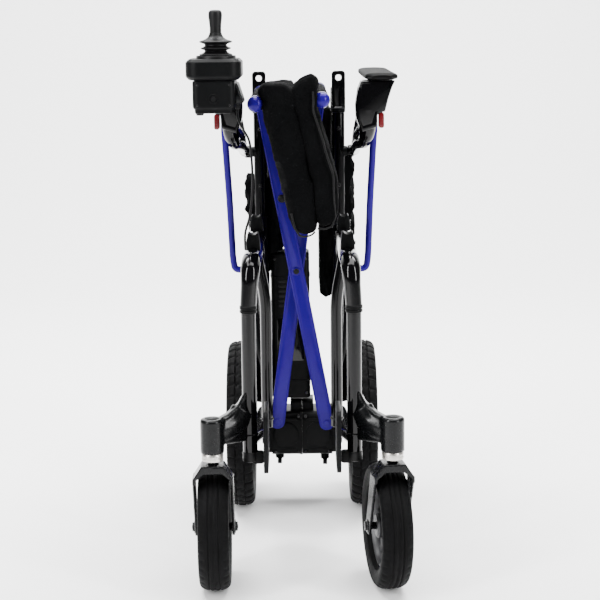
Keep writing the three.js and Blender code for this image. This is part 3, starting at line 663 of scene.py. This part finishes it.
def armrest(name, s):
    shell = melted(f"{name}_armrest_shell", "shell", BLACK, 1.35, 5)
    y, z = POST["y"], ARM["pivot"]
    cap = lathe("pivot_cap", [(0, 3.2), (4, 3.1), (7.6, 2.2), (9.4, 0.6), (9.4, -0.6), (0, -0.6)],
                (s * (POST["x"] + 26), y, z), (s, 0, 0), SATIN, 40)
    front = ARM["front"]
    outline = [(s * x, z) for x, z in ((99, 792), (147, 792), (142.5, 783), (137, 766), (131.5, 751), (118, 748),
                                       (113, 730), (99, 726), (92.5, 740), (91.5, 757), (95, 781))]
    plate = prism("front_plate", outline, front - 0.6, front + 1, BLACK, 0.4)
    corners = ((108, 72, 752), (107, 75, 716), (103, 96, 698), (98, 240, 684), (98, 376, 666), (97, 397, 661),
               (88, 400, 660))
    path = rounded_path([(s * x, y, z) for x, y, z in corners], 30, 8, 3)
    tail = sweep("tail", path, ring_section(10, 32), BLACK,
                 [1.35 - 0.42 * min(1, i / 20) for i in range(len(path))], 2)
    whole = joined(f"{name}_armrest_body", [shell, cap, plate, tail])
    fit(whole, f"{name}_armrest", [f"{name}_armrest_shell"])

    start, end, base = front - 4, ARM["back"] + 4, 797
    centre, half = s * 128.3, 25.6
    sections = []
    for i in range(61):
        along = start + (end - start) * i / 60
        near_ends = [(max(0, 1 - (along - start) / reach), max(0, 1 - (end - along) / reach))
                     for reach in (16, 12)]
        inset, droop = (a ** 2 + b ** 2 for a, b in near_ends)
        crown = 807.4 - 0.5 * (1 - abs(i / 60 - 0.5) / 0.5) - 3.6 * droop
        ring = []
        for u, v in boxy_circle(56, 0.45, 0.62)[:-1]:
            wide = (half - 11 * inset) * (1 - 0.012 * (v > 0))
            dome = 0.7 * (1 - u * u) if v > 0 else 0
            ring.append(Vector((centre + u * wide, along,
                                (base + crown) / 2 + v * (crown - base) / 2 + dome - 0.35)))
        sections.append(ring)
    pad = skin("pad_top", sections, "arm_pad")
    seam = [(centre + u * (half - 0.9), (start + end) / 2 + v * ((end - start) / 2 - 0.9), 799.6)
            for u, v in boxy_circle(120, 0.25, 0.25)]
    piping = sweep("pad_piping", seam, ring_section(1.1, 10), "piping", ends=0)
    cover = joined(f"{name}_armrest_cushion", [pad, piping])
    fit(cover, f"{name}_armrest", [f"{name}_armrest_pad"])

    hook = TOP_RAIL["z"] - 28
    corners = ((120, 94, 742), (117, 100, 700), (112, 112, 600), (109, 120, 512), (106, 120, hook),
               (90.4, 120, hook))
    path = rounded_path([(s * x, y, z) for x, y, z in corners], 34, 14, 4)
    top_part = [min(1.0, 0.62 + 0.38 * i / 5) for i in range(len(path))]
    post = sweep("post", path, ring_section(5.4, 28), "blue", top_part, ends=1.2)
    fit(post, f"{name}_armrest", [f"{name}_arm_post"])

    x0, x1 = sorted((s * 124, s * 132.5))
    button = prism("button", rounded_outline(x0, x1, 722.2, 746.3, 3.4, 6), front + 4, front + 30, "red", 1.2)
    ribs = [prism("rib", rounded_outline(x0 + 2, x1 - 2, z, z + 1.4, 0.6), front + 3.2, front + 5, "red", 0.3)
            for z in (727, 731, 735, 739)]
    fit(joined(f"{name}_latch_cap", [button] + ribs), f"{name}_latch", [f"{name}_latch_button"])


def footplate(name, s):
    near, far = sorted((s * 52.5, s * 59.5))
    plate = prism("plate", rounded_outline(-68, 22, 203, 300, 12, 8), near, far, SATIN, 1.4, "YZ")
    ribs = [prism("rib", rounded_outline(-60, 14, z, z + 3, 1.4, 3), face, face + 0.9, "rubber", 0.3, "YZ")
            for z in range(214, 292, 9) for face in (near - 0.5, far - 0.4)]
    hinge = [bolt_head((s * 59.4, y, 206.5), (s, 0, 0), 2.8, 0.8) for y in (-40, 8)]
    fit(joined(f"{name}_foot_plate", [plate] + ribs + hinge), f"{name}_foot", [f"{name}_footplate"])


# ---------- scissor ----------
def leaning(piece, foot_x, angle):
    return turned(piece, (foot_x, 0, PIVOT[1]), "Y", angle)


def cross_member(name, foot_x, angle, near, reach, outer_cap):
    half, length, depth = MEMBER["width"] / 2, MEMBER["length"] - 11.3, MEMBER["depth"]
    foot = PIVOT[1]
    head = [(half, length - 3), (half - 3, length), (3 - half, length), (-half, length - 3)]
    outline = arc(foot_x, foot, half, 180, 360, 24) + [(foot_x + x, foot + z) for x, z in head]
    beam = prism("beam", outline, near, near + depth, "blue", 0)
    beam = drilled(beam, (foot_x, near - 2, foot + reach), (foot_x, near + depth + 2, foot + reach), 5.3)
    parts = [bevelled(beam, 2.6, 4, 40)]
    # a raised lip runs round the beam's face, as on a drawn channel
    for x in (foot_x - half + 2.2, foot_x + half - 2.2):
        parts.append(sweep("lip", [(x, near + 0.5, foot - 2), (x, near + 0.5, foot + length - 8)],
                           ring_section(1.2, 10), "blue", ends=0.6))
    knobs = [("foot_rivet", [(0, 0.6), (4.6, 0.5), (6.4, 0.3), (6.8, 0), (0, 0)], 0, "blue", 40)]
    if outer_cap:
        knobs.append(("stop", [(0, 4), (4.2, 3.8), (6.4, 2.8), (7.2, 1.2), (7.2, 0), (0, 0)], outer_cap, "rubber",
                      32))
    rivet = [(0, 1.5), (2.4, 1.2), (3.5, 0.5), (3.6, 0), (0, 0)]
    knobs += [("rivet", rivet, along, "blue", 24) for along in (length - 22, length - 46)]
    parts += [lathe(kind, profile, (foot_x, near, foot + along), FORWARD, finish, sides)
              for kind, profile, along, finish, sides in knobs]
    return leaning(joined(name, parts), foot_x, angle)


def seat_rail(name, node, body, foot_x, angle):
    z = PIVOT[1] + MEMBER["length"]
    bar = lathe("bar", [(9, 0), (11, 1), (11, 379), (9, 380)], (foot_x, 0, z), (0, 1, 0), "blue", 44)
    nose = [(0, 14.2)] + [(12.5 * cos(radians(a)), 1.7 + 12.5 * sin(radians(a)))
                          for a in range(84, -1, -7)]
    nose += [(12.5, -3.4), (11.9, -4.2), (11.9, -5.4), (12.4, -6), (12.4, -10), (11, -11)]
    cap = lathe("nose", [(r, a) for r, a in nose], (foot_x, 0, z), FORWARD, "blue", 56)
    tail = lathe("tail", [(11, -4), (12.3, -3), (12.5, 0), (12.4, 4.6), (11, 6), (4, 6), (0, 5.2)],
                 (foot_x, 381, z), (0, 1, 0), SATIN, 44)
    saddle = lathe("sleeve", [(11, 0), (12.1, 0.7), (12.1, 29.3), (11, 30)], (foot_x, 350, z), (0, 1, 0),
                   "blue", 44)
    wrap = lathe("wrap", [(11, 3), (11.7, 4), (11.7, 343), (11, 344)], (foot_x, 0, z), (0, 1, 0), "fabric", 44)
    whole = leaning(joined(name, [bar, cap, tail, wrap, saddle]), foot_x, angle)
    fit(whole, body, [node])


def scissor():
    x, z = CROSSING
    rise = z - PIVOT[1]
    for side, place, sign, stop in (("front", "right", 1, 414), ("rear", "left", -1, 0)):
        foot_x = sign * PIVOT[0]
        lean = -sign * atan2(abs(foot_x - x), rise)
        beam = cross_member(f"{side}_member", foot_x, lean, MEMBER[side], hypot(x - foot_x, rise), stop)
        fit(beam, f"{side}_scissor", [f"{side}_cross_member"])
        seat_rail(f"{place}_rail", f"{place}_seat_rail", f"{side}_scissor", foot_x, lean)
    start = MEMBER["front"]
    shank = lathe("shank", [(5, 0), (5, 31.5)], (x, start - 3, z), (0, 1, 0), "steel", 32)
    head = lathe("head", [(0, 1.5), (4, 1.4), (6.8, 1.1), (7.8, 0.6), (8, 0.3), (0, 0.3)],
                 (x, start - 0.3, z), FORWARD, "blue", 48)
    nut = lathe("nut", [(3, 0), (8.5, 0), (8.5, 6.6), (3, 6.6)], (x, start + 25.8, z), (0, 1, 0), "steel", 6)
    fit(joined("crossing_bolt", [shank, head, bevelled(nut, 0.7, 2)]), "front_scissor", ["pivot_bolt"])


# ---------- back canes and grips ----------
def cane(name, s):
    hinge = (s * POST["x"], CANE["y"], CANE["z"])
    x, y, z = hinge

    def place(piece):
        return turned(piece, hinge, "X", CANE["lean"])

    bar = lathe("bar", [(9, 0), (10.5, 1), (10.5, 235), (9, 236)], (x, y, z - 262), UP, BLACK, 40)
    fork = []
    for side in (-1, 1):
        near, far = sorted((x + side * 5.5, x + side * 11))
        fork.append(prism("cheek", rounded_outline(y - 7.5, y + 7.5, z - 32, z + 7.5, 6), near, far,
                          BLACK, 1.0, "YZ"))
        fork.append(bolt_head((x + side * 11, y, z), (side, 0, 0), 4.2, 1.4))
    ring = lathe("ring", [(10.4, 0), (10.8, 0.4), (10.8, 9.6), (10.4, 10)], (x, y, z - 40), UP, SATIN,
                 40)
    plug = lathe("plug", [(0, 0), (8, 0.4), (11, 2), (11.6, 4), (10.5, 5)], (x, y, z - 262.4), UP, "rubber", 40)
    body = joined(f"{name}_cane_tube", [bar, ring, plug] + fork)
    fit(place(body), f"{name}_cane", [f"{name}_back_cane"])
    profile = [(10.6, 0), (14.3, 0.6), (14.5, 2), (14.5, 6)]
    for i in range(9):
        base, ridge = 8 + i * 6, 13.6 + 0.6 * sin(i / 8 * pi)
        profile += [(12.6, base), (12.6, base + 1.4), (ridge, base + 2.4), (ridge, base + 5)]
    profile += [(14.4, 62), (14.4, 65), (12.5, 66.8), (0, 67)]
    grip = lathe(f"{name}_grip", profile, (x, y - 11, z - 248), FORWARD, "rubber", 56)
    fit(place(grip), f"{name}_cane", [f"{name}_push_grip"])


# ---------- upholstery ----------
def box_piece(name, x0, x1, y0, y1, z0, z1, finish):
    corners = [(x, y, z) for z in (z0, z1) for x, y in ((x0, y0), (x1, y0), (x1, y1), (x0, y1))]
    faces = [(3, 2, 1, 0), (4, 5, 6, 7), (0, 1, 5, 4), (1, 2, 6, 5), (2, 3, 7, 6), (3, 0, 4, 7)]
    return new_piece(name, [Vector(c) for c in corners], faces, finish)


def stuffed(piece, voxel, pressure, swell, seed, shrink):
    """Cloth simulation of a closed cover blown up from inside; no point moves further than swell millimetres."""
    frames = 20
    remesh = piece.modifiers.new("remesh", "REMESH")
    remesh.mode = "VOXEL"
    remesh.voxel_size = voxel * MM
    bake_modifiers(piece)
    before = [v.co.copy() for v in piece.data.vertices]
    offset = Vector((seed * 7.3, seed * 3.1, seed))
    for v in piece.data.vertices:
        v.co += Vector((noise.noise(v.co * 30 + offset), noise.noise(v.co * 30 - offset),
                        noise.noise(v.co * 31 + offset * 2))) * 0.0012
    cloth = piece.modifiers.new("cloth", "CLOTH")
    for setting, value in (("quality", 5), ("mass", 0.25), ("tension_stiffness", 18),
                           ("compression_stiffness", 18), ("shear_stiffness", 6), ("bending_stiffness", 0.08),
                           ("use_pressure", True), ("uniform_pressure_force", pressure),
                           ("shrink_min", shrink)):
        setattr(cloth.settings, setting, value)
    cloth.settings.effector_weights.gravity = 0
    cloth.point_cache.frame_start = 1
    cloth.point_cache.frame_end = frames
    for frame_number in range(1, frames + 1):
        bpy.context.scene.frame_set(frame_number)
    bake_modifiers(piece)
    bpy.context.scene.frame_set(1)
    limit = swell * MM
    for v, start in zip(piece.data.vertices, before):
        move = v.co - start
        if move.length > limit:
            v.co = start + move * (limit / move.length)
    smooth = piece.modifiers.new("even", "SMOOTH")
    smooth.factor = 0.5
    smooth.iterations = 2
    sub = piece.modifiers.new("sub", "SUBSURF")
    sub.levels = sub.render_levels = 1
    bake_modifiers(piece)
    return piece


def creased(piece, depth, lines, seed):
    """Fine creases of loose fabric: long folds along given directions and small dents."""
    mesh = piece.data
    offset = Vector((seed * 2.7, -seed * 1.3, seed * 0.9))
    lines = [(Vector(direction).normalized(), scale, weight) for direction, scale, weight in lines]
    normals = [v.normal.copy() for v in mesh.vertices]
    for v, normal in zip(mesh.vertices, normals):
        push = 0.0
        for d, scale, weight in lines:
            flat = v.co - d * v.co.dot(d) * 0.86
            push += max(0.0, 1 - abs(noise.noise(flat * scale + offset)) * 2.6) ** 3 * weight
        push += noise.noise(v.co * 95 + offset) * 0.225
        v.co += normal * push * depth * MM
    mesh.update()


def kept_inside(piece, x, y=None):
    """Presses a soft piece flat against planes, in millimetres."""
    for v in piece.data.vertices:
        p = v.co / MM - SHIFT
        for i, limit in enumerate((x, y)):
            if limit:
                p[i] = min(max(p[i], limit[0]), limit[1])
        v.co = (p + SHIFT) * MM


def covered(piece, body, nodes=()):
    """A soft piece in fabric, smooth shaded and attached to its body, with the CAD nodes it replaces hidden."""
    painted(piece, "fabric")
    for polygon in piece.data.polygons:
        polygon.use_smooth = True
    return fit(piece, body, nodes)


WELTS = {
    "right": [(22, 572), (16, 566), (2, 564), (-6, 572), (-13, 600)],
    "left": [(21, 783), (21, 757), (38, 700), (51, 656), (53, 596), (50, 582), (41, 576), (27, 577)],
}


def cushion(name):
    piece = node_copy(f"{name}_seat_pad", f"{name}_seat_cushion")
    stuffed(piece, 5.5, 3.5, 5, 3 if name == "left" else 8, -0.04)
    creased(piece, 1.9, [((0, 1, 0.1), 24, 0.8), ((0.2, 0.3, 1), 30, 0.7), ((0, 1, 0), 52, 0.35)],
            4 if name == "left" else 9)
    covered(piece, f"{name}_seat", [f"{name}_seat_pad"])
    trims = []
    for y in (-21, 346):
        line = rounded_path([(x, y, z) for x, z in WELTS[name]], 9, 5, 4)
        wobble = [p + Vector((0.5 * sin(i * 0.6), 0, 0)) for i, p in enumerate(line)]
        trims.append(sweep("welt", wobble, ring_section(1.5, 12), "piping", ends=1))
    fit(joined(f"{name}_seat_piping", trims), f"{name}_seat")


def back_panel(name, s):
    lower = 400 if s > 0 else 482
    inner = 36.5 if s > 0 else 31  # the rear member passes in front of this half when the chair is open
    x0, x1 = sorted((s * inner, s * 54))
    piece = box_piece(f"{name}_back_cover", x0, x1, POST["y"] + 3, POST["y"] + 200, lower, 732, "fabric")
    stuffed(piece, 6, 2.5, 6, 12 + s, -0.05)
    creased(piece, 4.5, [((0, 0.2, 1), 22, 0.8), ((0, 1, 0.5), 26, 0.8), ((0, 1, -0.4), 40, 0.4)], 15 + s)
    kept_inside(piece, x=(34.6, 56.5) if s > 0 else (-56.5, -25))
    covered(piece, f"{name}_back", [f"{name}_back_panel"])


def sleeve(name, s):
    """The end of the sling gathered behind the post and sewn round it; it bulges past the post."""
    x0, x1 = sorted((s * 52, s * 90))
    low, high = (512, 648) if s > 0 else (450, 606)
    piece = box_piece(f"{name}_sling_end", x0, x1, POST["y"] + 12, POST["y"] + 36, low, high, "fabric")
    stuffed(piece, 5, 3, 9, 31 + s, -0.08)
    creased(piece, 7.0, [((0, 0.1, 1), 20, 0.9), ((s, 0, 0.6), 24, 0.9), ((s, 0, -0.5), 34, 0.5)], 35 + s)
    kept_inside(piece, x=sorted((s * 50, s * 99)), y=(POST["y"] + 11, POST["y"] + 42))
    covered(piece, f"{name}_side")


def upper_back(name, s):
    hinge = (s * POST["x"], CANE["y"], CANE["z"])
    x, y, z = hinge
    piece = box_piece(f"{name}_upper_cover", x - 7, x + 7, y + 25, y + 217, z - 232, z - 58, "fabric")
    turned(piece, hinge, "X", CANE["lean"])
    stuffed(piece, 6, 2.5, 6, 21 + s, -0.05)
    creased(piece, 2.4, [((0, 0.2, 1), 22, 0.8), ((0, 1, 0.6), 28, 0.8)], 25 + s)
    kept_inside(piece, x=(x - 9.5, x + 9.5))
    covered(piece, f"{name}_upper", [f"{name}_upper_back"])


# ---------- battery ----------
def battery():
    case = refined("battery_case", "case", SATIN, 2.4, 4)
    x0, x1, y0, y1, z0, z1 = -54, 16, 412, 470, 207, 477
    middle, across = (x0 + x1) / 2, (y0 + y1) / 2
    parts = [case]
    for z in (z0 + 34, z1 - 44):
        band = [(px, py, z) for px, py in rounded_outline(x0 - 0.4, x1 + 0.4, y0 - 0.4, y1 + 0.4, 8, 6)]
        band.append(band[0])
        parts.append(sweep("seam", band, ring_section(0.9, 8), SATIN, ends=0))
    parts.append(prism("recess", rounded_outline(x0 + 10, x1 - 10, z0 + 70, z0 + 150, 5), y0 - 0.7, y0 + 1,
                       BLACK, 0.5))
    for x in (x0 + 7, x1 - 7):
        for z in (z0 + 10, z1 - 12):
            parts.append(bolt_head((x, y0, z), FORWARD, 2.8, 1.2, "zinc"))
    for z in range(z0 + 170, z0 + 216, 9):
        parts.append(prism("vent", rounded_outline(x0 + 14, x1 - 14, z, z + 4, 2), y0 - 0.9, y0 + 0.8, "rubber",
                           0.4))
    grip = [(middle + x, across, z1 - sunk) for x, sunk in ((-20, 3), (-20, 2.2), (20, 2.2), (20, 3))]
    parts.append(tube("handle", grip, 2.4, "rubber", 4, 12))
    fit(joined("battery_body", parts), "battery", ["battery_case"])


# ---------- controller ----------
def controller():
    middle, front, top = -126, -57.8, 834
    collar = [(25.9, -5), (29.6, -5), (29.7, 1.4), (28.9, 2.5), (26.7, 2.5), (25.9, 1.8)]
    upper = [melted("controller_housing", "upper_shell", SATIN, 1.1, 4),
             hollow_lathe("boot_collar", collar, STICK, UP, "rubber", 72)]
    fit(joined("controller_top", upper), "right_armrest", ["controller_housing"])

    port = (middle, front, 776)
    parts = [
        melted("controller_base", "lower_shell", SATIN, 1.1, 3),
        lathe("port_ring", [(4.4, 0), (7.2, 0), (7.4, 0.9), (6.7, 1.5), (5.2, 1.5), (4.6, 0.6), (4.4, 0.2)], port,
              FORWARD, SATIN, 48),
        lathe("port_cap", [(0, 0.9), (3.8, 0.8), (4.4, 0.3), (4.4, 0), (0, 0)], port, FORWARD, "rubber", 40),
    ]
    parts += [bolt_head((x, front, z), FORWARD, 2.0, 0.8) for x in (middle - 24, middle + 24) for z in (766, 796)]
    parts.append(prism("side_bracket", [(-97, 797.5), (-92.4, 796), (-84.6, 770.5), (-88, 769.4), (-97, 769.6)],
                       -41, 33, BLACK, 1.0))
    for y in (-26, 16):
        parts.append(bolt_head((-87.9, y, 783), (1, 0, 0.3), 2.6, 1.1))
    parts.append(lathe("gland", [(2.6, 0), (4.4, 0.4), (4.6, 1.4), (4.6, 6.4), (3.4, 8)], (-92, -8, 766),
                       (0, 0, -1), "rubber", 32))
    fit(joined("controller_lower", parts), "right_armrest", ["controller_base"])

    ring = hollow_lathe("gimbal_ring", [(3.4, -4.4), (7, -4.4), (7, -0.6), (3.4, -0.6)], STICK, UP, "rim_grey", 40)
    fit(ring, "joystick_gimbal", ["joystick_gimbal"])
    folds = [(0.5, 2.2), (20, 2.4), (24.2, 2.7), (25, 3.6), (24.4, 4.6), (21, 5.8), (17.6, 7.6), (16.4, 9.2),
             (17, 10.4), (20, 11.4), (22.2, 12.2), (22.8, 13.2), (22, 14.2), (18.6, 15.4), (16.4, 17),
             (16.2, 18.4), (18, 19.8), (22, 21), (24.2, 22), (24.6, 23), (23.8, 24), (19.6, 25.2), (15.4, 26.8),
             (12.4, 29), (10.6, 31.6), (9.7, 33.6), (9.4, 35), (8.8, 36), (0.5, 36)]
    fit(lathe("bellows", folds, STICK, UP, "rubber", 96), "joystick", ["joystick_boot"])
    knob = [(0, 33.5), (7.4, 33.6), (8.5, 36.6), (8.7, 38), (8.6, 42), (8.9, 47), (9.6, 53), (10.2, 58),
            (10.4, 62), (10.1, 65), (9.2, 67.4), (7.4, 68.8), (4.4, 69.4), (0, 69.6)]
    fit(lathe("knob", knob, STICK, UP, "rubber", 72), "joystick", ["joystick_knob"])
    for key, x, y, r in (("power", -126, 24, 7), ("faster", -104, 22, 5), ("slower", -148, 22, 5)):
        profile = [(0, -2), (r - 1.5, -2), (r - 1.1, -0.6), (r - 0.5, 0.5), (r - 0.6, 1.2), (r - 1.6, 1.7),
                   (r * 0.4, 1.1), (0, 1.0)]
        fit(lathe(f"{key}_key_cap", profile, (x, y, top), UP, "rubber", 48), f"{key}_key", [f"{key}_button"])


# ---------- cable ----------
def cable():
    route = [Vector(p) for p in ((-92, -8, 757.5), (-92, -10, 744), (-84, -21, 728), (-74, -30, 706),
                                 (-71, -33, 650), (-75, -33, 604), (-83, -31, 574), (-84, -23, 554),
                                 (-84, -12, 545))]
    points = []
    for i in range(len(route) - 1):
        a, b = route[max(i - 1, 0)], route[i]
        c, d = route[i + 1], route[min(i + 2, len(route) - 1)]
        for k in range(10):
            t = k / 10
            points.append(0.5 * ((2 * b) + (c - a) * t + (2 * a - 5 * b + 4 * c - d) * t * t
                                 + (3 * b - a - 3 * c + d) * t ** 3))
    points.append(route[-1])
    piece = sweep("controller_lead", points, ring_section(1.9, 16), "rubber", ends=0.3)
    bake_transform(piece)
    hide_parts("controller_cable")


# ---------- the whole chair ----------
for side_name, side_sign in SIDES.items():
    side_frame(side_name, side_sign)
    back_post(side_name, side_sign)
    caster(side_name, side_sign)
    drive(side_name, side_sign)
    armrest(side_name, side_sign)
    footplate(side_name, side_sign)
    cane(side_name, side_sign)
    cushion(side_name)
    back_panel(side_name, side_sign)
    sleeve(side_name, side_sign)
    upper_back(side_name, side_sign)
scissor()
battery()
controller()
cable()


# ---------- floor, light and camera ----------
def plain(name, color, rough):
    material = bpy.data.materials.new(name)
    material.use_nodes = True
    shader = material.node_tree.nodes["Principled BSDF"]
    shader.inputs["Base Color"].default_value = (*color, 1)
    shader.inputs["Roughness"].default_value = rough
    return material


def sweep_floor():
    """A plain pale floor that curves up into a backdrop behind the chair."""
    run = [(-7.0, 0.0), (2.4, 0.0)]
    run += arc(2.4, 2.0, 2.0, -84, 0, 14)
    run.append((4.4, 6.0))
    wide = 9.0
    vertices = [(x, y, z - 0.0005) for y, z in run for x in (-wide, wide)]
    faces = [(2 * i, 2 * i + 1, 2 * i + 3, 2 * i + 2) for i in range(len(run) - 1)]
    mesh = bpy.data.meshes.new("floor")
    mesh.from_pydata(vertices, [], faces)
    for polygon in mesh.polygons:
        polygon.use_smooth = True
    mesh.materials.append(plain("floor", (0.88, 0.88, 0.88), 0.85))
    linked("floor", mesh)


def soft_light(name, place, target, width, height, watts):
    data = bpy.data.lights.new(name, "AREA")
    data.shape = "RECTANGLE"
    data.size, data.size_y = width, height
    data.energy = watts
    lamp = linked(name, data)
    lamp.location = place
    lamp.rotation_euler = (Vector(target) - Vector(place)).to_track_quat("-Z", "Y").to_euler()


sweep_floor()
world = bpy.data.worlds.new("studio")
bpy.context.scene.world = world
world.use_nodes = True
world.node_tree.nodes["Background"].inputs["Color"].default_value = (1, 1, 1, 1)
world.node_tree.nodes["Background"].inputs["Strength"].default_value = 0.13
soft_light("key", (-2.3, -2.2, 1.9), (0, 0, 0.5), 0.35, 2.6, 150)
soft_light("fill", (2.4, -2.0, 1.7), (0, 0, 0.5), 0.3, 2.6, 120)
soft_light("top", (0, 0.0, 3.4), (0, 0, 0), 3.6, 3.0, 420)
soft_light("backdrop", (0, 1.0, 3.6), (0, 3.6, 0.8), 5.0, 1.2, 560)

camera_data = bpy.data.cameras.new("camera")
camera = linked("camera", camera_data)
camera_data.sensor_width = 36
camera_data.lens = 1571 / 600 * 36
camera_data.clip_start = 0.05
camera.matrix_world = (Matrix.Translation((0, -2.6884, 0.889))
                       @ Matrix.Rotation(radians(90 - 10.1), 4, "X")
                       @ Matrix.Rotation(radians(-0.6), 4, "Z"))
bpy.context.scene.camera = camera
